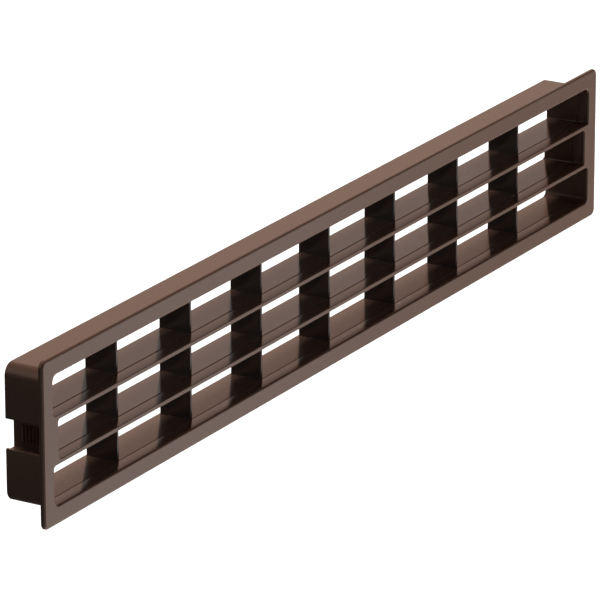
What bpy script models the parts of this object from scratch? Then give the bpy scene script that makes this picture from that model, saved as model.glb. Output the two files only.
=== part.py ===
"""One half of a two-part ventilation grille for a door leaf, in metres, +Z up.

The face frame lies on the door, and its back face is the plane Y = 0. Behind it a collar reaches into the
cut-out in the leaf, towards +Y. Inside the collar two long slats and twenty-one short fins make three rows of
eight cells. Halfway up each end, the collar is notched, and a toothed wall stands back in the notch, where the
barbed strap of the other half slides in. The origin is the middle of the cut-out, in the plane of the door face.
"""
import math

import bmesh
import bpy

# Face frame
LENGTH = 0.4582             # along X
HEIGHT = 0.0695             # along Z
FRAME_THICKNESS = 0.0021
FRAME_CORNER = 0.003        # radius of the frame's outer corners
FRONT_EDGE_ROUND = 0.0011   # radius along the frame's front outer edge
BACK_EDGE_ROUND = 0.0005
RELIEF = 0.0002             # the frame's back is sunk by this much where the collar meets it
BORDER = 0.0078             # from the frame's outer edge to its openings
BAR = 0.0018                # height of the two bars between the openings
BAR_PITCH = 0.01844         # from one bar to the next; the middle row is a little lower than the others
BAR_DEPTH = 0.0059          # from the front face to the back of the bars
BAR_DRAFT = 0.0001          # the bars step in by this much behind the frame, above and below
OPENING_EDGE_ROUND = 0.0008 # radius along the openings' front edges
BAR_EDGE_ROUND = 0.0003     # the bars' front edges are rounded over this height only
BAR_CORNER = 0.0012         # radius of an opening's corners beside a bar
MIDDLE_SETBACK = 0.0035     # the middle opening ends this much sooner than the others

# Collar
COLLAR_SETBACK = 0.0061     # from the frame's outer edge to the collar's outer face
COLLAR_REACH = 0.0196       # from the door face to the collar's rim
COLLAR_CORNER = 0.005       # outer radius
COLLAR_WALL = 0.0014        # behind the bars; in front of there it reaches inwards to the openings
RIM_ROUND = 0.0003

# Slats and fins
ROW_NAMES = ("bottom", "middle", "top")
COLUMNS = 8
SLAT_FRONT = 0.002          # thickness just behind the bars
SLAT_BACK = 0.0014
FIN_FRONT = 0.0013
FIN_BACK = 0.001
FIN_SETBACK = 0.0064        # from the front face to the fins' front edges
LATTICE_SETBACK = 0.0006    # the slats and fins end this much before the collar's rim

# Toothed latch walls
LATCH_WALL = 0.0012
LATCH_SETBACK = 0.0012      # the latch wall ends this much before the collar's rim
SHELF = 0.0011              # thickness of the shelves above and below the notch
SHELF_SETBACK = 0.0006      # from the latch wall's upper and lower edges to the shelves
TEETH = 5
TOOTH_PITCH = 0.00164
TOOTH_RISE = 0.0007
TOOTH_WIDTH = 0.0066        # along Z
TOOTH_ROOT = 0.0004         # how deep the teeth are rooted in the wall
FIRST_TOOTH = 0.0069        # from the door face to the first tooth

# Fit
GAP = 0.0003                # clearance between neighbouring sub-parts

CORNER_STEPS = 8
EDGE_STEPS = 3
BROWN = (0.085, 0.050, 0.036, 1.0)
SMOOTH_ANGLE = math.radians(28)

FRONT = -FRAME_THICKNESS
BAR_BACK = FRONT + BAR_DEPTH
LATTICE_FRONT = BAR_BACK + GAP
FIN_FRONT_Y = FRONT + FIN_SETBACK
LATTICE_BACK = COLLAR_REACH - LATTICE_SETBACK
COLLAR_FRONT = GAP - RELIEF
COLLAR_X = LENGTH / 2 - COLLAR_SETBACK
COLLAR_Z = HEIGHT / 2 - COLLAR_SETBACK
INNER_X = COLLAR_X - COLLAR_WALL
INNER_Z = COLLAR_Z - COLLAR_WALL
OPENING_X = LENGTH / 2 - BORDER
OPENING_Z = HEIGHT / 2 - BORDER
LATCH_INNER_X = OPENING_X - MIDDLE_SETBACK


def clear_scene():
    """Remove every object that the file starts with."""
    for thing in list(bpy.data.objects):
        bpy.data.objects.remove(thing, do_unlink=True)


def plastic(name, roughness):
    """Dark brown moulded plastic."""
    material = bpy.data.materials.new(name)
    material.use_nodes = True
    shader = material.node_tree.nodes["Principled BSDF"]
    shader.inputs["Base Color"].default_value = BROWN
    shader.inputs["Roughness"].default_value = roughness
    shader.inputs["Metallic"].default_value = 0.0
    return material


def add_object(name, mesh, material, parent):
    """Put a mesh in the scene under a name, with its own material."""
    if not mesh.materials:
        mesh.materials.append(material)
    thing = bpy.data.objects.new(name, mesh)
    bpy.context.collection.objects.link(thing)
    thing.parent = parent
    return thing


def finished_mesh(name, bm):
    """Turn all faces outwards, shade the rounded ones smooth and make a mesh of the result."""
    bmesh.ops.recalc_face_normals(bm, faces=bm.faces)
    mesh = bpy.data.meshes.new(name)
    bm.to_mesh(mesh)
    bm.free()
    mesh.shade_smooth()
    mesh.set_sharp_from_angle(angle=SMOOTH_ANGLE)
    return mesh


def arc(centre_x, centre_z, radius, start, steps):
    """Points of a quarter circle that turns anticlockwise from a start angle in degrees."""
    angles = [math.radians(start + 90 * step / steps) for step in range(steps + 1)]
    return [(centre_x + radius * math.cos(a), centre_z + radius * math.sin(a)) for a in angles]


def rounded_rectangle(low, high, radii):
    """Closed outline in X and Z, with a radius each for the lower left, lower right, upper right, upper left."""
    (x0, z0), (x1, z1) = low, high
    lower_left, lower_right, upper_right, upper_left = radii
    return (arc(x0 + lower_left, z0 + lower_left, lower_left, 180, CORNER_STEPS)
            + arc(x1 - lower_right, z0 + lower_right, lower_right, 270, CORNER_STEPS)
            + arc(x1 - upper_right, z1 - upper_right, upper_right, 0, CORNER_STEPS)
            + arc(x0 + upper_left, z1 - upper_left, upper_left, 90, CORNER_STEPS))


def sweep(bm, outline, section, path_closed=True, section_closed=False):
    """Carry a section of (y, inset) points along an outline, which is a function of the inset."""
    rings = [[bm.verts.new((x, y, z)) for x, z in outline(inset)] for y, inset in section]
    count = len(rings[0])
    pairs = list(zip(rings, rings[1:]))
    if section_closed:
        pairs.append((rings[-1], rings[0]))
    for near, far in pairs:
        for i in range(count if path_closed else count - 1):
            j = (i + 1) % count
            bm.faces.new((near[i], near[j], far[j], far[i]))
    return rings


def ring_edges(bm, ring):
    """The edges that join a ring's vertices in turn."""
    return [bm.edges.get((ring[i - 1], ring[i])) or bm.edges.new((ring[i - 1], ring[i]))
            for i in range(len(ring))]


def fill(bm, rings, facing):
    """Fill the flat face between rings of vertices; facing is -1 towards the front and 1 towards the back."""
    edges = [edge for ring in rings for edge in ring_edges(bm, ring)]
    bmesh.ops.triangle_fill(bm, use_beauty=True, edges=edges, normal=(0, facing, 0))


def quarter_round(y_flat, y_side, radius, grows):
    """Section of a rounded edge, from the flat face to the side; the inset shrinks to 0, or grows to it."""
    turn = math.copysign(1.0, y_side - y_flat)
    sign = -1.0 if grows else 1.0
    angles = [math.pi / 2 * step / EDGE_STEPS for step in range(EDGE_STEPS + 1)]
    return [(y_flat + turn * radius * (1 - math.cos(a)), sign * radius * (1 - math.sin(a))) for a in angles]


def bar_centres():
    """Height of the middle of each bar, and of the slat behind it, from the lowest up."""
    count = len(ROW_NAMES) - 1
    return [BAR_PITCH * (bar - (count - 1) / 2) for bar in range(count)]


def row_span(row):
    """Lowest and highest Z of one row's opening in the frame."""
    centres = bar_centres()
    low = -OPENING_Z if row == 0 else centres[row - 1] + BAR / 2
    high = OPENING_Z if row == len(centres) else centres[row] - BAR / 2
    return low, high


def is_end_row(row):
    """Whether a row has no latch wall at its ends."""
    return row in (0, len(ROW_NAMES) - 1)


def opening_outline(row):
    """Outline of one opening as a function of the inset, of which a side that is a bar takes only a share."""
    z0, z1 = row_span(row)
    x1 = OPENING_X if is_end_row(row) else LATCH_INNER_X
    corner = COLLAR_CORNER - (BORDER - COLLAR_SETBACK)
    bar_share = BAR_EDGE_ROUND / OPENING_EDGE_ROUND
    lower, below = (corner, 1.0) if row == 0 else (BAR_CORNER, bar_share)
    upper, above = (corner, 1.0) if row == len(ROW_NAMES) - 1 else (BAR_CORNER, bar_share)

    def outline(inset):
        radii = [lower - below * inset] * 2 + [upper - above * inset] * 2
        return rounded_rectangle((-x1 + inset, z0 + below * inset), (x1 - inset, z1 - above * inset), radii)

    return outline


def frame_outline(inset):
    """The face frame's outer outline."""
    half_x, half_z = LENGTH / 2 - inset, HEIGHT / 2 - inset
    return rounded_rectangle((-half_x, -half_z), (half_x, half_z), [FRAME_CORNER - inset] * 4)


def relief_outline(inset):
    """Outline of the sunk part of the frame's back, which clears the collar all round."""
    half_x, half_z = COLLAR_X + GAP - inset, COLLAR_Z + GAP - inset
    return rounded_rectangle((-half_x, -half_z), (half_x, half_z), [COLLAR_CORNER + GAP - inset] * 4)


def make_face_frame():
    """Plate with rounded edges and three openings; the bars between them run deeper than the plate."""
    bm = bmesh.new()
    edge = quarter_round(FRONT, 0.0, FRONT_EDGE_ROUND, grows=False)
    edge += reversed(quarter_round(0.0, FRONT, BACK_EDGE_ROUND, grows=False))
    rim = sweep(bm, frame_outline, edge)
    seat, floor = sweep(bm, relief_outline, [(0.0, 0.0), (-RELIEF, 0.0)])
    hole_edge = quarter_round(FRONT, 0.0, OPENING_EDGE_ROUND, grows=True) + [(-RELIEF, 0.0)]
    holes = [sweep(bm, opening_outline(row), hole_edge) for row in range(len(ROW_NAMES))]
    roots = []
    for centre in bar_centres():
        half_x, half_z = OPENING_X - GAP, BAR / 2 - BAR_DRAFT
        corners = [(-half_x, centre - half_z), (half_x, centre - half_z),
                   (half_x, centre + half_z), (-half_x, centre + half_z)]
        root, tip = sweep(bm, lambda inset, c=corners: c, [(-RELIEF, 0.0), (BAR_BACK, 0.0)])
        bm.faces.new(tip)
        roots.append(root)
    fill(bm, [rim[0]] + [hole[0] for hole in holes], -1)
    fill(bm, [rim[-1], seat], 1)
    fill(bm, [floor] + [hole[-1] for hole in holes] + roots, 1)
    return finished_mesh("face_frame", bm)


def slat_half(y):
    """Half the thickness of a slat at a depth: it thins evenly towards the back."""
    share = (y - LATTICE_FRONT) / (LATTICE_BACK - LATTICE_FRONT)
    return (SLAT_FRONT + (SLAT_BACK - SLAT_FRONT) * share) / 2


def latch_wall_half():
    """Half the height of a latch wall, which stands between the two slats."""
    return bar_centres()[-1] - slat_half(LATTICE_FRONT) - GAP


def notch_half():
    """Half the height of the notch in each end of the collar, flush with the latch wall's shelves."""
    return latch_wall_half() - SHELF_SETBACK - SHELF


def collar_outline(side):
    """Half of the collar's outline, from notch to notch, as a function of the inset; side is 1 above, -1 below."""

    def outline(inset):
        half_x, half_z, radius = COLLAR_X - inset, COLLAR_Z - inset, COLLAR_CORNER - inset
        right = arc(half_x - radius, half_z - radius, radius, 0, CORNER_STEPS)
        left = arc(-half_x + radius, half_z - radius, radius, 90, CORNER_STEPS)
        path = [(half_x, notch_half())] + right + left + [(-half_x, notch_half())]
        return [(x, side * z) for x, z in path]

    return outline


def make_collar(name, side):
    """One half of the collar: it lines the openings as deep as the bars, then steps back, and its rim is eased."""
    lining = BORDER - COLLAR_SETBACK
    section = [(COLLAR_FRONT, 0.0), (COLLAR_REACH - RIM_ROUND, 0.0), (COLLAR_REACH, RIM_ROUND),
               (COLLAR_REACH, COLLAR_WALL - RIM_ROUND), (COLLAR_REACH - RIM_ROUND, COLLAR_WALL),
               (BAR_BACK, COLLAR_WALL), (BAR_BACK, lining), (COLLAR_FRONT, lining)]
    bm = bmesh.new()
    rings = sweep(bm, collar_outline(side), section, path_closed=False, section_closed=True)
    bm.faces.new([ring[0] for ring in rings])
    bm.faces.new([ring[-1] for ring in rings])
    return finished_mesh(name, bm)


def make_slat():
    """A long slat between the ends of the collar, about its own middle height."""
    half_x = INNER_X - GAP
    profile = [(LATTICE_FRONT, -slat_half(LATTICE_FRONT)), (LATTICE_BACK, -slat_half(LATTICE_BACK)),
               (LATTICE_BACK, slat_half(LATTICE_BACK)), (LATTICE_FRONT, slat_half(LATTICE_FRONT))]
    bm = bmesh.new()
    ends = [[bm.verts.new((x, y, z)) for y, z in profile] for x in (-half_x, half_x)]
    for i in range(len(profile)):
        bm.faces.new((ends[0][i - 1], ends[0][i], ends[1][i], ends[1][i - 1]))
    bm.faces.new(ends[0])
    bm.faces.new(ends[1])
    return finished_mesh("slat", bm)


def fin_span(row, y):
    """Lowest and highest Z of a fin at a depth: clear of the slats, and of the collar in the end rows."""
    centres = bar_centres()
    low = -INNER_Z if row == 0 else centres[row - 1] + slat_half(y)
    high = INNER_Z if row == len(ROW_NAMES) - 1 else centres[row] - slat_half(y)
    return low + GAP, high - GAP


def make_fin(row):
    """An upright web between two slats, thinner towards the back, about its own middle plane."""
    bm = bmesh.new()
    ends = []
    for y, thickness in ((FIN_FRONT_Y, FIN_FRONT), (LATTICE_BACK, FIN_BACK)):
        low, high = fin_span(row, y)
        corners = [(-thickness / 2, low), (thickness / 2, low), (thickness / 2, high), (-thickness / 2, high)]
        ends.append([bm.verts.new((x, y, z)) for x, z in corners])
    for i in range(4):
        bm.faces.new((ends[0][i - 1], ends[0][i], ends[1][i], ends[1][i - 1]))
    bm.faces.new(ends[0])
    bm.faces.new(ends[1])
    return finished_mesh("fin_" + ROW_NAMES[row], bm)


def column_x(column):
    """X of the plane between one column of cells and the next, counted from 1."""
    pitch = 2 * OPENING_X / COLUMNS
    return -OPENING_X + column * pitch


def latch_profile():
    """Outline of the left latch wall in X and Z: an upright web with a shelf above and below the notch."""
    web_in = -LATCH_INNER_X
    web_out = web_in - LATCH_WALL
    shelf_tip = -OPENING_X + GAP
    top, shelf_low = latch_wall_half(), notch_half()
    upper_half = [(web_in, top), (web_out, top), (web_out, shelf_low + SHELF), (shelf_tip, shelf_low + SHELF),
                  (shelf_tip, shelf_low), (web_out, shelf_low)]
    return upper_half + [(x, -z) for x, z in reversed(upper_half)]


def make_teeth():
    """Row of saw teeth on the left latch wall: each rises slowly going in and falls off square."""
    face = -LATCH_INNER_X - LATCH_WALL
    root = face + TOOTH_ROOT
    outline = [(root, FIRST_TOOTH), (root, FIRST_TOOTH + TEETH * TOOTH_PITCH)]
    for tooth in reversed(range(TEETH)):
        start = FIRST_TOOTH + tooth * TOOTH_PITCH
        outline += [(face, start + TOOTH_PITCH), (face - TOOTH_RISE, start)]
    outline.append((face, FIRST_TOOTH))
    bm = bmesh.new()
    ends = [[bm.verts.new((x, y, z)) for x, y in outline] for z in (-TOOTH_WIDTH / 2, TOOTH_WIDTH / 2)]
    for i in range(len(outline)):
        bm.faces.new((ends[0][i - 1], ends[0][i], ends[1][i], ends[1][i - 1]))
    bm.faces.new(ends[0])
    bm.faces.new(ends[1])
    return finished_mesh("teeth", bm)


def make_latch_wall(name, side, material, parent):
    """A latch wall with its teeth; side is -1 at the left end and 1 at the right."""
    bm = bmesh.new()
    profile = latch_profile()
    section = [(COLLAR_FRONT, 0.0), (COLLAR_REACH - LATCH_SETBACK, 0.0)]
    near, far = sweep(bm, lambda inset: profile, section)
    bm.faces.new(near)
    bm.faces.new(far)
    wall = add_object(name, finished_mesh(name, bm), material, parent)
    teeth = add_object(name + "_teeth", make_teeth(), material, parent)
    teeth.hide_render = True
    teeth.display_type = "WIRE"
    union = wall.modifiers.new("teeth", "BOOLEAN")
    union.operation = "UNION"
    union.object = teeth
    if side > 0:
        wall.rotation_euler.y = math.pi
        teeth.rotation_euler.y = math.pi
    return wall


def build():
    """Make every sub-part of the grille half."""
    clear_scene()
    root = bpy.data.objects.new("grille", None)
    bpy.context.collection.objects.link(root)
    face = plastic("face_plastic", 0.35)
    collar = plastic("collar_plastic", 0.40)
    lattice = plastic("lattice_plastic", 0.32)
    latch = plastic("latch_plastic", 0.40)

    add_object("face_frame", make_face_frame(), face, root)
    add_object("collar_top", make_collar("collar_top", 1), collar, root)
    add_object("collar_bottom", make_collar("collar_bottom", -1), collar, root)
    slat = make_slat()
    for name, centre in zip(("slat_lower", "slat_upper"), bar_centres()):
        add_object(name, slat, lattice, root).location.z = centre
    for row, row_name in enumerate(ROW_NAMES):
        fin = make_fin(row)
        for column in range(1, COLUMNS):
            add_object(f"fin_{row_name}_{column}", fin, lattice, root).location.x = column_x(column)
    make_latch_wall("latch_wall_left", -1, latch, root)
    make_latch_wall("latch_wall_right", 1, latch, root)


build()
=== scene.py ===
# %% [markdown]
# # A door ventilation grille in dark brown plastic
# The real part is one half of a two-part grille. It is a single injection moulding: a flat face frame, a
# collar that reaches into the cut-out of the door leaf, and inside it two long slats and twenty-one short fins.
# The measured model of it is loaded first as a fixed frame. Everything below dresses that frame: each surface
# is worked out again with its fine roundings, and gets the brown plastic, the studio and the camera.

import bmesh
import bpy
import numpy as np
from mathutils import Matrix, Vector


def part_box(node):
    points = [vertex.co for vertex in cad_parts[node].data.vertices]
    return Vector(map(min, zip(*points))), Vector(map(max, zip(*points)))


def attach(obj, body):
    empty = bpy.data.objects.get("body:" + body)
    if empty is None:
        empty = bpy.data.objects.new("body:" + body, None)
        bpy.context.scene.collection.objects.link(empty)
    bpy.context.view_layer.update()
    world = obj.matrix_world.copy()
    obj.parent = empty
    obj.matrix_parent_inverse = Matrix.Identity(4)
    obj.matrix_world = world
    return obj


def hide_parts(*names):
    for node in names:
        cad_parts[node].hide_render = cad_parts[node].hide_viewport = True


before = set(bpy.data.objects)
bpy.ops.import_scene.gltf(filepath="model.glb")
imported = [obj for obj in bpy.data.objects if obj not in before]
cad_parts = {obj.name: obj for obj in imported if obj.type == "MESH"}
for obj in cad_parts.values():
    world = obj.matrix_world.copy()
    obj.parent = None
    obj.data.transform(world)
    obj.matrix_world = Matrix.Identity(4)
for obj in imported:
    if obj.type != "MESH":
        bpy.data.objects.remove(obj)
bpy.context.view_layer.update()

# %% [markdown]
# ## Sizes
# The big sizes are read from the frame, so that the pieces here can't drift away from it. The small ones, such
# as the radius of an edge, are written once in millimetres. A part like this has no truly sharp edge: the
# tool leaves a rounding of a few tenths of a millimetre, and of about one along the front. Those thin
# roundings are what catches or loses the light.

# %% Read the places and name the small sizes
MM = 0.001
ROWS = ("bottom", "middle", "top")
FIN_COUNT = 7

face_low, face_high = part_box("face_frame")
collar_low, collar_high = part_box("collar_top")
slat_boxes = [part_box("slat_lower"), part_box("slat_upper")]
fin_low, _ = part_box("fin_middle_1")
_, latch_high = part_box("latch_wall_left")

HALF_X = face_high.x
HALF_Z = face_high.z
FRONT_Y = face_low.y
DOOR_Y = 0.0
BAR_BACK_Y = face_high.y
RIM_Y = collar_high.y
COLLAR_X = collar_high.x
COLLAR_Z = collar_high.z
NOTCH_Z = collar_low.z
LATTICE_BACK_Y = slat_boxes[0][1].y
FIN_FRONT_Y = fin_low.y
LATCH_X = -latch_high.x
LATCH_BACK_Y = latch_high.y
slat_z = [(low.z + high.z) / 2 for low, high in slat_boxes]
fin_x = [sum(corner.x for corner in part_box(f"fin_middle_{n + 1}")) / 2 for n in range(FIN_COUNT)]

BORDER = 7.8 * MM              # width of the face frame, from its edge to an opening
BAR = 1.8 * MM                 # height of a bar between two openings
FRAME_CORNER = 3.0 * MM        # radius of the frame's outer corners
BAR_CORNER = 1.2 * MM          # radius of an opening's corner beside a bar
COLLAR_CORNER = 5.0 * MM       # outer radius of the collar
INNER_CORNER = 2.6 * MM        # radius in the corners of the end rows
COLLAR_WALL = 1.4 * MM         # at the rim; the wall grows thicker towards the front
FRONT_ROUND = 1.1 * MM         # along the frame's front edge
BACK_ROUND = 0.5 * MM
MOUTH_ROUND = 1.0 * MM         # along the openings' front edges
BAR_ROUND = 0.3 * MM           # along the bars' front edges
RIM_ROUND = 0.35 * MM
SMALL_ROUND = 0.15 * MM
SUPPORT = 0.05 * MM            # a narrow flat strip that keeps the shading of a flat face flat
THROAT = 0.5 * MM              # wall of an opening's throat, which stands inside the collar
GROOVE = 0.3 * MM              # the joint between the bars and what lies behind them
SUNK = 0.3 * MM                # how far a web reaches into the wall that carries it
BEVEL = 0.2 * MM               # slope at the back of an opening's throat
BAR_BEVEL = BEVEL / 4          # and there on a bar
BEVEL_DEPTH = 0.45 * MM

LATTICE_FRONT_Y = BAR_BACK_Y + GROOVE
LINING = BORDER - (HALF_X - COLLAR_X)
print("slats at z", [round(z / MM, 2) for z in slat_z], "fins at x", [round(x / MM, 1) for x in fin_x])

# %% [markdown]
# ## From a grid of points to a mesh
# Every surface here is a grid: one direction runs along the part, the other across its section. Such a grid can
# be worked out as one array, and its faces are found by counting. The last row can be joined to the first
# one, which closes a ring. Two grids that share an edge have the same points there, so merging the doubles
# closes them into one skin. Blender then turns all faces outwards and shades the roundings smooth.

# %% Turn grids into a piece
CORNER_STEPS = 12
EDGE_STEPS = 6
MERGE = 1e-6
SMOOTH_ANGLE = np.radians(32)


def grid_faces(rows, columns, wrap_rows, wrap_columns):
    """Indices of a grid's faces: a point, its neighbour, and the two that follow them in the next row."""
    index = np.arange(rows * columns).reshape(rows, columns)
    below = np.roll(index, -1, axis=0)
    beside = np.roll(index, -1, axis=1)
    across = np.roll(below, -1, axis=1)
    faces = np.stack([index, beside, across, below], axis=-1)
    return faces[: rows if wrap_rows else -1, : columns if wrap_columns else -1].reshape(-1, 4)


def make_piece(name, grids, caps=(), keep=None):
    """A mesh object from flat caps and grids of points. Each grid has two flags that close its rows and its
    columns, and keep picks the faces that stay."""
    points, faces, count = [], [], 0
    for grid, wrap_rows, wrap_columns in grids:
        points.append(grid.reshape(-1, 3))
        quads = grid_faces(*grid.shape[:2], wrap_rows, wrap_columns)
        if keep is not None:
            quads = quads[keep(points[-1][quads])]
        faces += (quads + count).tolist()
        count += len(points[-1])
    for cap in caps:
        points.append(cap)
        faces.append(list(range(count, count + len(cap))))
        count += len(cap)
    mesh = bpy.data.meshes.new(name)
    mesh.from_pydata(np.concatenate(points), [], faces)
    skin = bmesh.new()
    skin.from_mesh(mesh)
    bmesh.ops.remove_doubles(skin, verts=skin.verts, dist=MERGE)
    bmesh.ops.recalc_face_normals(skin, faces=skin.faces)
    open_edges = sum(1 for edge in skin.edges if len(edge.link_faces) != 2)
    skin.to_mesh(mesh)
    skin.free()
    mesh.shade_smooth()
    mesh.set_sharp_from_angle(angle=SMOOTH_ANGLE)
    piece = bpy.data.objects.new(name, mesh)
    bpy.context.scene.collection.objects.link(piece)
    print(f"{name}: {len(mesh.polygons)} faces, {open_edges} open edges")
    return piece


def rounded_rectangle(low, high, radii, radii_z=None):
    """Outline in X and Z. Each corner is its centre plus its radius times the cosine and sine of a quarter
    turn; the straight sides need no points of their own. The radii start at the lower left and go
    anticlockwise. With a second list of radii, for Z, a corner becomes a quarter of an ellipse."""
    turn = np.radians([180, 270, 0, 90])[:, None] + np.linspace(0, np.pi / 2, CORNER_STEPS + 1)
    wide = np.maximum(np.asarray(radii, float), 0)[:, None]
    tall = wide if radii_z is None else np.maximum(np.asarray(radii_z, float), 0)[:, None]
    centre_x = np.array([low[0], high[0], high[0], low[0]])[:, None] + wide * [[1], [-1], [-1], [1]]
    centre_z = np.array([low[1], low[1], high[1], high[1]])[:, None] + tall * [[1], [1], [-1], [-1]]
    return np.stack([centre_x + wide * np.cos(turn), centre_z + tall * np.sin(turn)], axis=-1).reshape(-1, 2)


def ring(outline, y):
    """An outline in X and Z, placed at a depth."""
    return np.stack([outline[:, 0], np.full(len(outline), y), outline[:, 1]], axis=-1)


def quarter(radius):
    """A rounded edge, as two lists: how far it has dropped from the flat face, and how far it is from the side.
    The drop is radius times 1 minus the cosine, and the distance is radius times 1 minus the sine."""
    turn = np.linspace(0, np.pi / 2, EDGE_STEPS + 1)
    return radius * (1 - np.cos(turn)), radius * (1 - np.sin(turn))


def hollow(distance, radius):
    """A quarter circle between two faces: radius minus the root of radius squared minus (radius minus distance)
    squared. It is the full radius at the first face and nothing from one radius on."""
    rest = radius - np.clip(distance, 0, radius)
    return radius - np.sqrt(np.maximum(radius ** 2 - rest ** 2, 0))


# %% [markdown]
# ## The face frame
# On the real part this is a flat plate with three long openings, and the two bars between them run deeper
# than the plate. One could cut the openings with Booleans and bevel the result. Here each opening is a ring
# instead: its section starts with a small slope at the back of the opening's wall, comes forward, turns over
# the front edge, crosses the flat front, turns round the outer edge and returns along the back. Three such
# rings lie on top of each other. They meet in the middle of the bars, where the faces between them are left
# out, so they merge into one.

# %% Make the face frame
def row_span(row):
    """Lowest and highest Z of a row's opening."""
    low = -HALF_Z + BORDER if row == 0 else slat_z[row - 1] + BAR / 2
    high = HALF_Z - BORDER if row == len(ROWS) - 1 else slat_z[row] - BAR / 2
    return low, high


def opening(row, grow, bar_grow=None, end_grow=None):
    """A row's opening, widened on all sides, or by other amounts at the bars and at the two ends."""
    low, high = row_span(row)
    bar_grow = grow if bar_grow is None else bar_grow
    end_grow = grow if end_grow is None else end_grow
    first, last = row == 0, row == len(ROWS) - 1
    grow_low = grow if first else bar_grow
    grow_high = grow if last else bar_grow
    half = (LATCH_X if row == 1 else HALF_X - BORDER) + end_grow
    lower = INNER_CORNER if first else BAR_CORNER
    upper = INNER_CORNER if last else BAR_CORNER
    radii = np.array([lower, lower, upper, upper])
    growths = np.array([grow_low, grow_low, grow_high, grow_high])
    return rounded_rectangle((-half, low - grow_low), (half, high + grow_high),
                             radii + end_grow, radii + growths)


def band(row, inset):
    """The part of the frame's outline that belongs to a row. It ends square in the middle of a bar."""
    half = HALF_X - inset
    first, last = row == 0, row == len(ROWS) - 1
    low = -HALF_Z + inset if first else slat_z[row - 1]
    high = HALF_Z - inset if last else slat_z[row]
    corner = FRAME_CORNER - inset
    lower = corner if first else 0
    upper = corner if last else 0
    return rounded_rectangle((-half, low), (half, high), [lower, lower, upper, upper])


def face_ring(row):
    """The whole section of the frame, carried round one opening."""
    rings = [ring(opening(row, BAR_BEVEL, BAR_BEVEL, BEVEL), BAR_BACK_Y),
             ring(opening(row, 0), BAR_BACK_Y - BEVEL_DEPTH)]
    depths = np.unique(np.concatenate([quarter(MOUTH_ROUND)[0], quarter(BAR_ROUND)[0]]))
    for depth in depths[::-1]:
        widened = opening(row, hollow(depth, MOUTH_ROUND), hollow(depth, BAR_ROUND))
        rings.append(ring(widened, FRONT_Y + depth))
    rings.append(ring(opening(row, MOUTH_ROUND + SUPPORT, BAR_ROUND + SUPPORT), FRONT_Y))
    rings.append(ring(band(row, FRONT_ROUND + SUPPORT), FRONT_Y))
    rings += [ring(band(row, a), FRONT_Y + d) for d, a in zip(*quarter(FRONT_ROUND))]
    drop, away = quarter(BACK_ROUND)
    rings += [ring(band(row, a), DOOR_Y - d) for d, a in zip(drop[::-1], away[::-1])]
    rings.append(ring(band(row, BACK_ROUND + SUPPORT), DOOR_Y))
    rings += [ring(opening(row, THROAT), DOOR_Y), ring(opening(row, THROAT), BAR_BACK_Y)]
    return np.array(rings)


def not_inside(corners):
    """False for a face that lies wholly in the middle plane of a bar, where two rings meet."""
    on_a_middle = [np.all(np.abs(corners[..., 2] - z) < MERGE, axis=1) for z in slat_z]
    return ~np.any(on_a_middle, axis=0)


face_rings = [(face_ring(row), True, True) for row in range(len(ROWS))]
face = make_piece("grille_face", face_rings, keep=not_inside)

# %% [markdown]
# ## The collar
# Behind the frame a wall goes all the way round, except for a notch in the middle of each end. It is one
# section carried along a path that starts at a notch, rounds two corners and ends at the other notch. The
# outline of the part inside has tighter corners than the one outside, so a point of the section brings its
# own corner radius with it. Near the two ends the section shrinks along a quarter circle, which rounds the cut
# edges of the notch. Inside, the wall leans a little, so that the moulding leaves its tool, and a fine groove
# parts it from the lining of the openings.

# %% Make the two halves of the collar
FOOT_ROUND = 0.4 * MM          # hollow rounding where the collar stands on the frame's back
NOTCH_ROUND = 0.25 * MM


def wall_inset(y):
    """How far the inner face of the collar's wall lies from the outer one, at a depth."""
    return np.interp(y, [LATTICE_FRONT_Y, RIM_Y], [LINING, COLLAR_WALL])


def collar_section(shrink):
    """Depth, inset and corner radius of the wall's section: up outside, over the rim and down inside."""
    drop, away = quarter(RIM_ROUND)
    small_drop, small_away = quarter(SMALL_ROUND)
    hidden = LINING - THROAT / 2
    outside = [(y, shrink - hollow(y, FOOT_ROUND)) for y in np.linspace(0, FOOT_ROUND, EDGE_STEPS + 1)]
    outside += [(RIM_Y - shrink - a, shrink + d) for a, d in zip(drop[::-1], away[::-1])]
    inside = [(RIM_Y - shrink - a, COLLAR_WALL - shrink - d) for a, d in zip(drop, away)]
    inside += [(LATTICE_FRONT_Y + a, LINING - shrink - d)
               for a, d in zip(small_drop[::-1], small_away[::-1])]
    inside += [(LATTICE_FRONT_Y, hidden), (-SUNK, hidden)]
    section = [(y, inset, COLLAR_CORNER - inset) for y, inset in outside]
    section += [(y, inset, INNER_CORNER + LINING - inset) for y, inset in inside]
    section.append((-SUNK, shrink, COLLAR_CORNER - shrink))
    return np.array([[np.broadcast_to(value, shrink.shape) for value in point] for point in section])


def make_collar(name, side):
    """One half of the collar; side is 1 above and -1 below. A corner's point is one radius in from both faces,
    plus the radius times the cosine and sine of the turn."""
    drop, away = quarter(NOTCH_ROUND)
    turn = np.concatenate([np.zeros(len(drop)), np.linspace(0, np.pi / 2, CORNER_STEPS + 1)])
    shrink = np.concatenate([drop[::-1], np.zeros(CORNER_STEPS + 1)])
    depth, inset, radius = collar_section(shrink).transpose(1, 0, 2)
    x = COLLAR_X - inset - radius * (1 - np.cos(turn))
    z = COLLAR_Z - inset - radius * (1 - np.sin(turn))
    z[:, : len(away)] = NOTCH_Z + away[::-1]
    right = np.stack([x, depth, side * z], axis=-1)
    points = np.concatenate([right, right[:, ::-1] * [-1, 1, 1]], axis=1)
    return make_piece(name, [(points, True, False)], caps=[points[:, 0], points[:, -1]])


collars = [make_collar("collar_upper_half", 1), make_collar("collar_lower_half", -1)]

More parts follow.
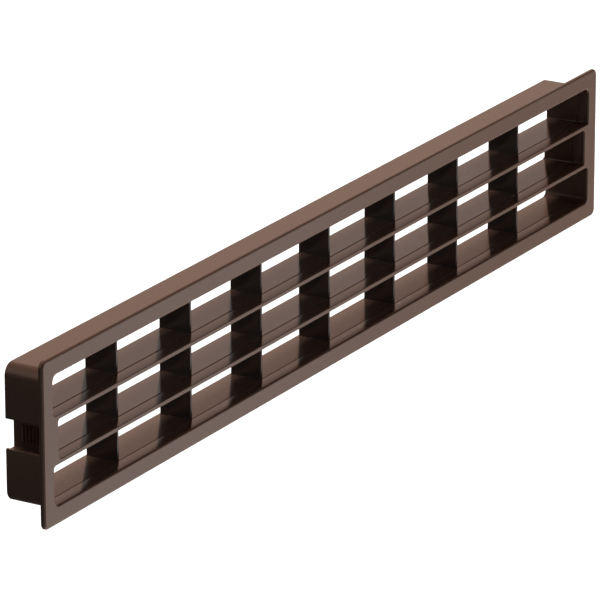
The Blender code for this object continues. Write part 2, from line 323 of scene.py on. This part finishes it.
# %% [markdown]
# ## The slats
# Two blades run the whole length, one behind each bar, and thin out towards the back. Each is a closed section
# carried along X. At its ends the blade has to melt into the end walls with a hollow rounding, which is the
# light line in the right-hand cells. So the blade simply grows thicker near a wall: its half thickness gets
# the formula of a hollow rounding of the distance to that wall. Above and below the blade the walls stand at
# different places, because the middle row has its latch walls, so each side measures to its own wall.

# %% Make the slats
SLAT_FRONT = 2.0 * MM
SLAT_BACK = 1.4 * MM
END_ROUND = 0.6 * MM           # hollow rounding between a slat and an end wall
BACK_EDGE_ROUND = 0.35 * MM
DIGITS = 8                     # stations along a slat that agree to this many places count as one


def slat_half(y):
    """Half the thickness of a slat at a depth."""
    return np.interp(y, [LATTICE_FRONT_Y, LATTICE_BACK_Y], [SLAT_FRONT / 2, SLAT_BACK / 2])


def slat_profile():
    """Closed section of the blade, as depths and heights above its middle: its upper side, then its lower."""
    drop, away = quarter(SMALL_ROUND)
    depth = [LATTICE_FRONT_Y + a for a in away[::-1]]
    lower_by = list(drop[::-1])
    depth.append(LATTICE_FRONT_Y + SMALL_ROUND + SUPPORT)
    lower_by.append(0.0)
    drop, away = quarter(BACK_EDGE_ROUND)
    depth.append(LATTICE_BACK_Y - BACK_EDGE_ROUND - SUPPORT)
    lower_by.append(0.0)
    depth += [LATTICE_BACK_Y - a for a in away]
    lower_by += list(drop)
    depth = np.array(depth)
    height = slat_half(depth) - np.array(lower_by)
    return np.concatenate([depth, depth[::-1]]), np.concatenate([height, -height[::-1]])


def make_slat(name, middle, latch_side):
    """A blade at a height; latch_side is 1 if the latch walls stand above it and -1 if below."""
    depth, height = slat_profile()
    ease = END_ROUND * (1 - np.cos(np.linspace(0, np.pi / 2, 2 * EDGE_STEPS + 1)))
    collar_wall = COLLAR_X - wall_inset(depth)
    inner = np.concatenate([LATCH_X - ease, collar_wall.min() - ease, collar_wall.max() - ease])
    right = np.unique(np.round(np.append(inner, collar_wall.max() + SUNK), DIGITS))
    along = np.concatenate([-right[::-1], right])
    wall = np.where(height * latch_side > 0, LATCH_X, collar_wall)
    thicker = hollow(wall[:, None] - np.abs(along)[None], END_ROUND)
    z = middle + height[:, None] + np.sign(height)[:, None] * thicker
    y = np.broadcast_to(depth[:, None], z.shape)
    points = np.stack([np.broadcast_to(along, z.shape), y, z], axis=-1)
    return make_piece(name, [(points, True, False)], caps=[points[:, 0], points[:, -1]])


slats = [make_slat("lower_blade", slat_z[0], 1), make_slat("upper_blade", slat_z[1], -1)]

# %% [markdown]
# ## The fins
# Seven short webs in each row stiffen the slats and hide the view through the door. A web is a thin tapered
# section in X and Y carried upwards. Its foot and its head grow outwards by the same hollow rounding, and go
# a little way into the slats, so no dark gap shows where they are joined. The seven webs of a row differ only
# in where they stand, so a row is one array with the seven places added to it.

# %% Make the fins
FIN_FRONT = 1.3 * MM
FIN_BACK = 1.0 * MM
FIN_EDGE = 0.25 * MM
FIN_FOOT = 0.06 * MM


def fin_section():
    """Closed section of a web: offsets in X, depths, and outward directions."""
    turn = np.linspace(0, np.pi / 2, EDGE_STEPS + 1)
    quarters = np.radians([180, 270, 0, 90])[:, None] + turn
    along = np.cos(quarters).ravel()
    into = np.sin(quarters).ravel()
    corner = np.repeat([0, 1, 2, 3], len(turn))
    at_back = corner >= 2
    half = np.where(at_back, FIN_BACK, FIN_FRONT) / 2
    side = np.where((corner == 1) | (corner == 2), 1, -1)
    x = side * (half - FIN_EDGE) + FIN_EDGE * along
    y = np.where(at_back, LATTICE_BACK_Y - FIN_EDGE, FIN_FRONT_Y + FIN_EDGE) + FIN_EDGE * into
    return x, y, np.stack([along, into], axis=-1)


def floor_and_ceiling(row, y):
    """Where a row's cells end below and above, at a depth."""
    low = wall_inset(y) - COLLAR_Z if row == 0 else slat_z[row - 1] + slat_half(y)
    high = COLLAR_Z - wall_inset(y) if row == len(ROWS) - 1 else slat_z[row] - slat_half(y)
    return low, high


def make_fins(row):
    """The webs of one row in one mesh."""
    x, y, outward = fin_section()
    low, high = floor_and_ceiling(row, y)
    ease = FIN_FOOT * (1 - np.cos(np.linspace(0, np.pi / 2, EDGE_STEPS + 1)))
    rise = np.concatenate([[-SUNK], ease])
    grown = hollow(rise, FIN_FOOT)
    z = np.concatenate([low + rise[:, None], high - rise[::-1, None]])
    grown = np.concatenate([grown, grown[::-1]])
    grown_x = x + grown[:, None] * outward[:, 0]
    grown_y = y + grown[:, None] * outward[:, 1]
    one = np.stack([grown_x, grown_y, z], axis=-1)
    webs = [one + [place, 0, 0] for place in fin_x]
    caps = [web[end] for web in webs for end in (0, -1)]
    return make_piece(f"webs_{ROWS[row]}_row", [(web, False, True) for web in webs], caps=caps)


fins = [make_fins(row) for row in range(len(ROWS))]

# %% [markdown]
# ## The latch walls
# In each notch a small wall stands back. The barbed strap of the other half slides along its outside and
# locks behind its saw teeth. The wall is an outline in X and Z carried along Y, and the teeth are an outline
# in X and Y carried along Z. Both are prisms with rounded ends, so one function makes them. Another turns each
# corner of a plain polygon into a small arc: the arc's centre lies one radius along both sides of the corner.

# %% Make the latch walls
LATCH_WALL = 1.2 * MM
SHELF = 1.1 * MM
LATCH_ROUND = 0.2 * MM
TEETH = 5
TOOTH_PITCH = 1.64 * MM
TOOTH_RISE = 0.7 * MM
TOOTH_WIDTH = 6.6 * MM
TOOTH_ROOT = 0.4 * MM
FIRST_TOOTH_Y = 6.9 * MM
FLUSH = 0.02 * MM              # the shelves lie this much behind the notch's edge
ARC_POINTS = 5


def soften(polygon, radius):
    """Rounds each corner: centre minus radius times (cosine of the way ahead plus sine of the way back)."""
    corners = np.asarray(polygon, float)
    ahead = np.roll(corners, -1, axis=0) - corners
    ahead /= np.linalg.norm(ahead, axis=1, keepdims=True)
    back = -np.roll(ahead, 1, axis=0)
    turn = np.linspace(0, np.pi / 2, ARC_POINTS)[None, :, None]
    centre = (corners + radius * (ahead + back))[:, None]
    arcs = centre - radius * (ahead[:, None] * np.cos(turn) + back[:, None] * np.sin(turn))
    return arcs.reshape(-1, 2)


def prism(outline, start, end, radius, setback=None):
    """Layers of an outline from start to end; the first and last ones shrink along a quarter circle. A second
    outline may take the first one's place up to a depth."""
    tangent = np.roll(outline, -1, axis=0) - np.roll(outline, 1, axis=0)
    tangent /= np.linalg.norm(tangent, axis=1, keepdims=True)
    x, y = outline.T
    turning = np.sum(x * np.roll(y, -1) - y * np.roll(x, -1))
    inward = np.stack([-tangent[:, 1], tangent[:, 0]], axis=-1) * np.sign(turning)
    drop, away = quarter(radius)
    shrink = np.concatenate([away, away[::-1]])
    level = np.concatenate([start + drop, end - drop[::-1]])
    layers = outline[None] + shrink[:, None, None] * inward[None]
    if setback is not None:
        other, depth = setback
        steps = len(drop)
        layers = np.concatenate([other[None].repeat(2, axis=0), outline[None], layers[steps:]])
        level = np.concatenate([[start, depth, depth], level[steps:]])
    third = np.broadcast_to(level[:, None, None], layers.shape[:2] + (1,))
    return np.concatenate([layers, third], axis=-1)


def make_latch_wall(name, side):
    """Wall, shelves and teeth; side is -1 at the left end and 1 at the right."""
    web_in, web_out = LATCH_X, LATCH_X + LATCH_WALL
    tip = COLLAR_X - COLLAR_WALL + SUNK
    top = slat_z[-1]
    low = NOTCH_Z + FLUSH
    outer = [(web_out, top), (web_out, low + SHELF), (tip, low + SHELF), (tip, low), (web_out, low)]
    profiles = []
    for inner in (web_in, web_in + THROAT / 2):
        upper = [(inner, top)] + outer
        profiles.append(soften(upper + [(x, -z) for x, z in reversed(upper)], LATCH_ROUND))
    setback = (profiles[1], LATTICE_FRONT_Y)
    wall = prism(profiles[0], -SUNK, LATCH_BACK_Y, LATCH_ROUND, setback)[..., [0, 2, 1]]
    tooth_y = FIRST_TOOTH_Y + TOOTH_PITCH * np.arange(TEETH)
    root = web_out - TOOTH_ROOT
    comb = [(root, tooth_y[0])]
    for y in tooth_y:
        comb += [(web_out + TOOTH_RISE, y), (web_out, y + TOOTH_PITCH)]
    comb.append((root, tooth_y[-1] + TOOTH_PITCH))
    teeth = prism(np.array(comb), -TOOTH_WIDTH / 2, TOOTH_WIDTH / 2, SMALL_ROUND)
    parts = [part * [side, 1, 1] for part in (wall, teeth)]
    caps = [part[end] for part in parts for end in (0, -1)]
    return make_piece(name, [(part, False, True) for part in parts], caps=caps)


latches = [make_latch_wall("latch_web_left", -1), make_latch_wall("latch_web_right", 1)]

# %% [markdown]
# ## Shader sums in plain Python
# A node tree is a formula. To write it as one, a small class wraps an output socket and gives it the operators
# of arithmetic, so that an expression such as clouds - 0.5 adds its Math node by itself. Every other node
# comes from one method, which takes the node's type, its settings and the values or links of its sockets.

# %% A wrapped socket and the tree it lives in
class Wire:
    """An output socket that can stand in a Python expression."""

    def __init__(self, tree, socket):
        self.tree = tree
        self.socket = socket

    def math(self, operation, other):
        """A Math node on this wire and a value or another wire."""
        return self.tree.add("ShaderNodeMath", {"operation": operation}, {0: self, 1: other})

    def __add__(self, other):
        return self.math("ADD", other)

    def __sub__(self, other):
        return self.math("SUBTRACT", other)

    def __mul__(self, other):
        return self.math("MULTIPLY", other)

    __radd__ = __add__


class Tree:
    """A material's or a world's nodes, emptied, with one method that adds any node."""

    def __init__(self, owner):
        owner.use_nodes = True
        self.nodes = owner.node_tree.nodes
        self.links = owner.node_tree.links
        self.nodes.clear()

    def add(self, kind, settings=None, sockets=None, output=0):
        """Adds a node: its settings first, then its sockets' values or links; returns one of its outputs."""
        node = self.nodes.new(kind)
        for name, value in (settings or {}).items():
            setattr(node, name, value)
        for key, value in (sockets or {}).items():
            if isinstance(value, Wire):
                self.links.new(value.socket, node.inputs[key])
            else:
                node.inputs[key].default_value = value
        return Wire(self, node.outputs[output]) if node.outputs else None


def noise(tree, place, scale, detail, roughness):
    """A noise texture: its size, how many finer layers it has, and how strong they are."""
    return tree.add("ShaderNodeTexNoise", None,
                    {"Vector": place, "Scale": scale, "Detail": detail, "Roughness": roughness})


def blend(tree, share, first, second):
    """A Mix node between two colours. It has them in its sockets 6 and 7, and the result in its output 2."""
    return tree.add("ShaderNodeMix", {"data_type": "RGBA"}, {0: share, 6: first, 7: second}, output=2)


# %% [markdown]
# ## The brown plastic
# The grille is moulded in one dark brown polymer with a satin gloss. Nothing is painted or printed on the real
# part,
# so all of its life is in small things: clouds of slightly lighter and darker brown from the pigment, a fine
# grain from the tool's surface, a gloss that changes a little from place to place, and hair-fine marks along
# the slats, where the tool was polished lengthways. They are noises on Object coordinates. A noise is drawn out
# along X by scaling X down before it is read. The slats are the glossiest, since they mirror what stands behind
# the door. Their brown is darkened a little, and the fins' brown much more: that is painted shade, because the
# fins stand in the shade inside the cells, and the slats' darker brown balances their stronger gloss.

# %% Make the plastic for each group of pieces
BROWN = (0.150, 0.083, 0.058)
PIGMENT_SPREAD = 0.07          # how far the clouds' two browns lie from the middle one
NOISE_MEAN = 0.5
EVEN_SHARE = 0.5               # as much of the darker brown as of the lighter one
CLOUDS_PER_METRE = 26
GRAIN_PER_METRE = 2600
MARKS_PER_METRE = 2400
MARK_STRETCH = (0.02, 1.0, 1.0)
CLOUDS_IN_SHADE = 0.5
GRAIN_IN_SHADE = 0.12
CLOUDS_IN_GLOSS = 0.08
MARKS_IN_GLOSS = 0.12
GRAIN_HEIGHT = 0.35            # as a share of the bump's distance
BUMP_STRENGTH = 0.35
BUMP_DISTANCE = 0.01 * MM


def scaled_brown(factor):
    """The brown, lighter or darker, with full alpha."""
    return tuple(factor * part for part in BROWN) + (1.0,)


def brown_plastic(name, roughness, shine, marks, depth=1.0):
    """Satin moulded plastic. Shine is its specular level, marks is how strongly the polishing marks show,
    and depth scales the brown: below 1 it darkens the brown as painted shade."""
    material = bpy.data.materials.new(name)
    tree = Tree(material)
    place = tree.add("ShaderNodeTexCoord", output="Object")
    stretched = tree.add("ShaderNodeVectorMath", {"operation": "MULTIPLY"},
                         {0: place, 1: MARK_STRETCH})
    clouds = noise(tree, place, CLOUDS_PER_METRE, detail=3.0, roughness=0.6)
    grain = noise(tree, place, GRAIN_PER_METRE, detail=2.0, roughness=0.5)
    lines = noise(tree, stretched, MARKS_PER_METRE, detail=3.0, roughness=0.6)
    shade = ((clouds - NOISE_MEAN) * CLOUDS_IN_SHADE + (grain - NOISE_MEAN) * GRAIN_IN_SHADE
             + EVEN_SHARE)
    # a depth below 1 darkens both browns: painted shade
    dark = scaled_brown((1 - PIGMENT_SPREAD) * depth)
    light = scaled_brown((1 + PIGMENT_SPREAD) * depth)
    gloss = (roughness + (clouds - NOISE_MEAN) * CLOUDS_IN_GLOSS
             + (lines - NOISE_MEAN) * (MARKS_IN_GLOSS * marks))
    height = grain * GRAIN_HEIGHT + lines * marks
    normal = tree.add("ShaderNodeBump", None,
                      {"Strength": BUMP_STRENGTH, "Distance": BUMP_DISTANCE, "Height": height})
    shader = tree.add("ShaderNodeBsdfPrincipled", None,
                      {"Base Color": blend(tree, shade, dark, light), "Roughness": gloss,
                       "Normal": normal, "Specular IOR Level": shine})
    tree.add("ShaderNodeOutputMaterial", None, {"Surface": shader})
    return material


face_plastic = brown_plastic("face_plastic", roughness=0.20, shine=0.40, marks=0.15)
collar_plastic = brown_plastic("collar_plastic", roughness=0.28, shine=0.45, marks=0.15)
# the slats' brown is darkened a little: painted shade that balances their stronger gloss
slat_plastic = brown_plastic("slat_plastic", roughness=0.12, shine=1.0, marks=2.0, depth=0.91)
# the fins' brown is darkened to 35 percent: painted shade, for they stand in the shade inside the cells
fin_painted_shade_plastic = brown_plastic("fin_painted_shade_plastic", roughness=0.16, shine=0.5, marks=0.1, depth=0.35)
latch_plastic = brown_plastic("latch_plastic", roughness=0.36, shine=0.28, marks=0.15)

# %% [markdown]
# ## Dress the frame
# Each piece rides on the one body of the part and replaces the CAD nodes that it stands for.

# %% Give each piece its plastic, its body and its nodes
fin_names = [[f"fin_{row}_{n + 1}" for n in range(FIN_COUNT)] for row in ROWS]
dressing = [(face, face_plastic, "face", ["face_frame"]),
            (collars[0], collar_plastic, "collar", ["collar_top"]),
            (collars[1], collar_plastic, "collar", ["collar_bottom"]),
            (slats[0], slat_plastic, "lattice", ["slat_lower"]),
            (slats[1], slat_plastic, "lattice", ["slat_upper"]),
            (latches[0], latch_plastic, "latch", ["latch_wall_left"]),
            (latches[1], latch_plastic, "latch", ["latch_wall_right"])]
dressing += [(piece, fin_painted_shade_plastic, "lattice", names) for piece, names in zip(fins, fin_names)]
for piece, material, slot, nodes in dressing:
    piece.data.materials.append(material)
    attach(piece, "root")
    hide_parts(*nodes)
print(len(dressing), "pieces dressed")

# %% [markdown]
# ## The studio
# The grille hangs in the air, as it would in a door leaf. A plain pale floor lies far below it, so that it
# hides nothing in a view from below, and it is wide enough to reach the horizon in a view from the side. The
# floor and the world are white for rays that come from the camera, a reflection or a transmission, because
# for those rays they add light of their own. So the background is white, the light on the grille stays the
# lamps', and the floor still keeps the grille's shadow.

# %% Floor
FLOOR_Z = -3.2
FLOOR_SIZE = 400.0
FLOOR_GREY = 0.14
FLOOR_SPREAD = 0.01            # how far the floor's two greys lie from the middle one
SPECKLES_PER_METRE = 3.0


def seen_directly(tree):
    """1 for camera, glossy and transmission rays, and 0 for the rest."""
    camera_ray, glossy_ray, transmission_ray = [
        tree.add("ShaderNodeLightPath", output=name)
        for name in ("Is Camera Ray", "Is Glossy Ray", "Is Transmission Ray")]
    return camera_ray + glossy_ray + transmission_ray


def floor_material():
    """Pale matt paint that turns white where it is seen directly."""
    material = bpy.data.materials.new("pale_floor")
    tree = Tree(material)
    place = tree.add("ShaderNodeTexCoord", output="Object")
    speckle = noise(tree, place, SPECKLES_PER_METRE, detail=2.0, roughness=0.5)
    dark = (FLOOR_GREY - FLOOR_SPREAD,) * 3 + (1.0,)
    light = (FLOOR_GREY + FLOOR_SPREAD,) * 3 + (1.0,)
    matt = tree.add("ShaderNodeBsdfDiffuse", None, {"Color": blend(tree, speckle, dark, light)})
    glow = tree.add("ShaderNodeEmission", None, {"Strength": seen_directly(tree)})
    both = tree.add("ShaderNodeAddShader", None, {0: matt, 1: glow})
    tree.add("ShaderNodeOutputMaterial", None, {"Surface": both})
    return material


def flat_sheet(name, width, height, material, z=0.0):
    """A rectangle round the origin, in a level plane."""
    x, y = width / 2, height / 2
    mesh = bpy.data.meshes.new(name)
    mesh.from_pydata([(-x, -y, z), (x, -y, z), (x, y, z), (-x, y, z)], [], [(0, 1, 2, 3)])
    mesh.materials.append(material)
    sheet = bpy.data.objects.new(name, mesh)
    bpy.context.scene.collection.objects.link(sheet)
    return sheet


flat_sheet("floor", FLOOR_SIZE, FLOOR_SIZE, floor_material(), FLOOR_Z)

# %% [markdown]
# ## Lamps, cards and the world
# Three soft boxes do the lighting, and reflections don't show them. The first stands far off, straight
# opposite the camera, and draws the sharp upright shadows below the fins. The second hangs overhead, and the
# third, low in front, lights what faces forwards and down.
#
# What a glossy thing looks like depends on what it mirrors, so a photographer stands cards round it. The
# cards here are seen only by reflections: they cast no shadow, and the camera looks through them. Most are
# nearly black and keep the white background off the dark sides of the grille. Four are lighter.

# %% Lamps, cards and world
def toward(azimuth, elevation):
    """The unit vector of a direction from the grille; azimuth 0 is behind it and 90 is to its right. Its
    height is the sine of the elevation, and the cosine is shared out by the azimuth's sine and cosine."""
    around, up = np.radians([azimuth, elevation])
    return Vector((np.sin(around) * np.cos(up), np.cos(around) * np.cos(up), np.sin(up)))


def place_round(thing, azimuth, elevation, distance):
    """Puts a lamp or a card in a direction from the grille and turns it to face the grille."""
    thing.location = toward(azimuth, elevation) * distance
    way = Vector((0, 0, 0)) - thing.location
    thing.rotation_euler = way.to_track_quat("-Z", "Y").to_euler()


def soft_box(name, azimuth, elevation, distance, width, height, power, colour):
    """A rectangular lamp that reflections don't show."""
    light = bpy.data.lights.new(name, "AREA")
    light.shape = "RECTANGLE"
    light.size = width
    light.size_y = height
    light.energy = power
    light.color = colour
    lamp = bpy.data.objects.new(name, light)
    bpy.context.scene.collection.objects.link(lamp)
    place_round(lamp, azimuth, elevation, distance)
    lamp.visible_glossy = False


def reflected_card(name, azimuth, elevation, distance, width, height, colour, strength):
    """A glowing card that only reflections show."""
    material = bpy.data.materials.new(name)
    tree = Tree(material)
    glow = tree.add("ShaderNodeEmission", None, {"Color": colour + (1.0,), "Strength": strength})
    tree.add("ShaderNodeOutputMaterial", None, {"Surface": glow})
    card = flat_sheet(name, width, height, material)
    place_round(card, azimuth, elevation, distance)
    card.visible_camera = False
    card.visible_diffuse = False
    card.visible_transmission = False
    card.visible_shadow = False


NEUTRAL = (1.0, 0.97, 0.94)
DAYLIGHT = (1.0, 0.96, 0.93)
CREAM = (1.0, 0.95, 0.9)
ROSE = (1.0, 0.93, 0.88)
# each row: name, azimuth and elevation in degrees, distance, width and height in metres, and then a lamp's
# power in watts and its colour, or a card's colour and its strength
LAMPS = (("back_right", 59.8, 21, 18.0, 0.5, 3.4, 6050.0, DAYLIGHT),
         ("overhead", 0, 80, 4.0, 2.2, 2.2, 106.0, DAYLIGHT),
         ("front_low", 136, -36, 4.5, 1.2, 0.6, 200.0, ROSE))
CARDS = (
    # lighter: the tops of the collar and the slats mirror it
    ("pale_card", 59.4, 20, 1.8, 1.6, 1.0, ROSE, 0.32),
    # lighter and warm: the right end of the front
    ("right_card", 112.3, -14.5, 1.57, 0.37, 0.9, (1.0, 0.90, 0.80), 0.42),
    # dark: the roundings that face forwards and down
    ("low_card", 76, -35, 2.4, 1.7, 1.0, (1.0, 0.92, 0.86), 0.08),
    # dark: the fins' sides and the left end
    ("left_card", -45, -14, 0.95, 1.0, 1.1, CREAM, 0.08),
    # lighter: the slats mirror it twice, by way of the fins
    ("web_card", -59, 24, 0.95, 0.9, 0.45, CREAM, 0.5),
    # dark: all that faces up, backwards or to the left
    ("ceiling_card", 0, 90, 2.5, 40.0, 40.0, NEUTRAL, 0.05),
    ("rear_card", 30, 10, 3.0, 9.0, 5.0, NEUTRAL, 0.05),
    ("west_card", -75, 10, 3.0, 9.0, 5.0, NEUTRAL, 0.06),
    # dark: the roundings that face down and to the left
    ("under_card", 0, -60, 1.0, 1.6, 1.1, CREAM, 0.06),
    # lighter and warm: the rounding along the frame's left edge
    ("side_card", -109, -18, 0.9, 1.0, 1.0, (1.0, 0.9, 0.8), 0.4),
    # dark: where that rounding meets the front
    ("front_card", 180, -18, 0.9, 0.71, 1.0, CREAM, 0.06))
for row in LAMPS:
    soft_box(*row)
for row in CARDS:
    reflected_card(*row)

FILL = 0.04                    # soft light from all sides
world = bpy.data.worlds.new("studio")
bpy.context.scene.world = world
world_tree = Tree(world)
glow = seen_directly(world_tree) * (1.0 - FILL) + FILL
sky = world_tree.add("ShaderNodeBackground", None, {"Color": (1.0, 1.0, 1.0, 1.0), "Strength": glow})
world_tree.add("ShaderNodeOutputWorld", None, {"Surface": sky})

# %% [markdown]
# ## The camera
# The picture was taken from the left and a little above, with a long lens: edges that run away from the
# camera stay almost parallel. The direction, the distance and the lens were found from where the frame's
# corners and edges lie in the picture. The image is square and its middle is on the lens's axis, so there is
# no shift.

# %% Camera
CAMERA_TURN = 59.36            # degrees from +Y towards +X, along which the camera looks
CAMERA_DOWN = 19.07            # degrees below the horizon
CAMERA_ROLL = -0.105           # degrees
CAMERA_DISTANCE = 2.2653       # metres
CAMERA_LENS = 323.8            # millimetres
SENSOR_WIDTH = 36.0            # millimetres
NEAREST, FARTHEST = 0.1, 1000.0    # what the camera shows, in metres; the floor's far edge is within it
AIM_RIGHT = -17.81 * MM        # the lens's axis passes this far right of the middle of the frame's front
AIM_UP = -7.46 * MM            # and this far above it

look = toward(CAMERA_TURN, -CAMERA_DOWN)
turn, roll = np.radians([CAMERA_TURN, CAMERA_ROLL])
right = Vector((np.cos(turn), -np.sin(turn), 0.0))
upward = right.cross(look)
rolled_right = right * np.cos(roll) + upward * np.sin(roll)
rolled_up = upward * np.cos(roll) - right * np.sin(roll)
middle = Vector((0.0, FRONT_Y, 0.0))
place = middle + rolled_right * AIM_RIGHT + rolled_up * AIM_UP - look * CAMERA_DISTANCE
turned = Matrix((rolled_right, rolled_up, -look)).transposed()
data = bpy.data.cameras.new("camera")
data.lens = CAMERA_LENS
data.sensor_width = SENSOR_WIDTH
data.clip_start = NEAREST
data.clip_end = FARTHEST
camera = bpy.data.objects.new("camera", data)
bpy.context.scene.collection.objects.link(camera)
bpy.context.scene.camera = camera
camera.matrix_world = Matrix.Translation(place) @ turned.to_4x4()
print("camera at", [round(value, 3) for value in place])

bpy.context.scene.view_settings.view_transform = "Standard"
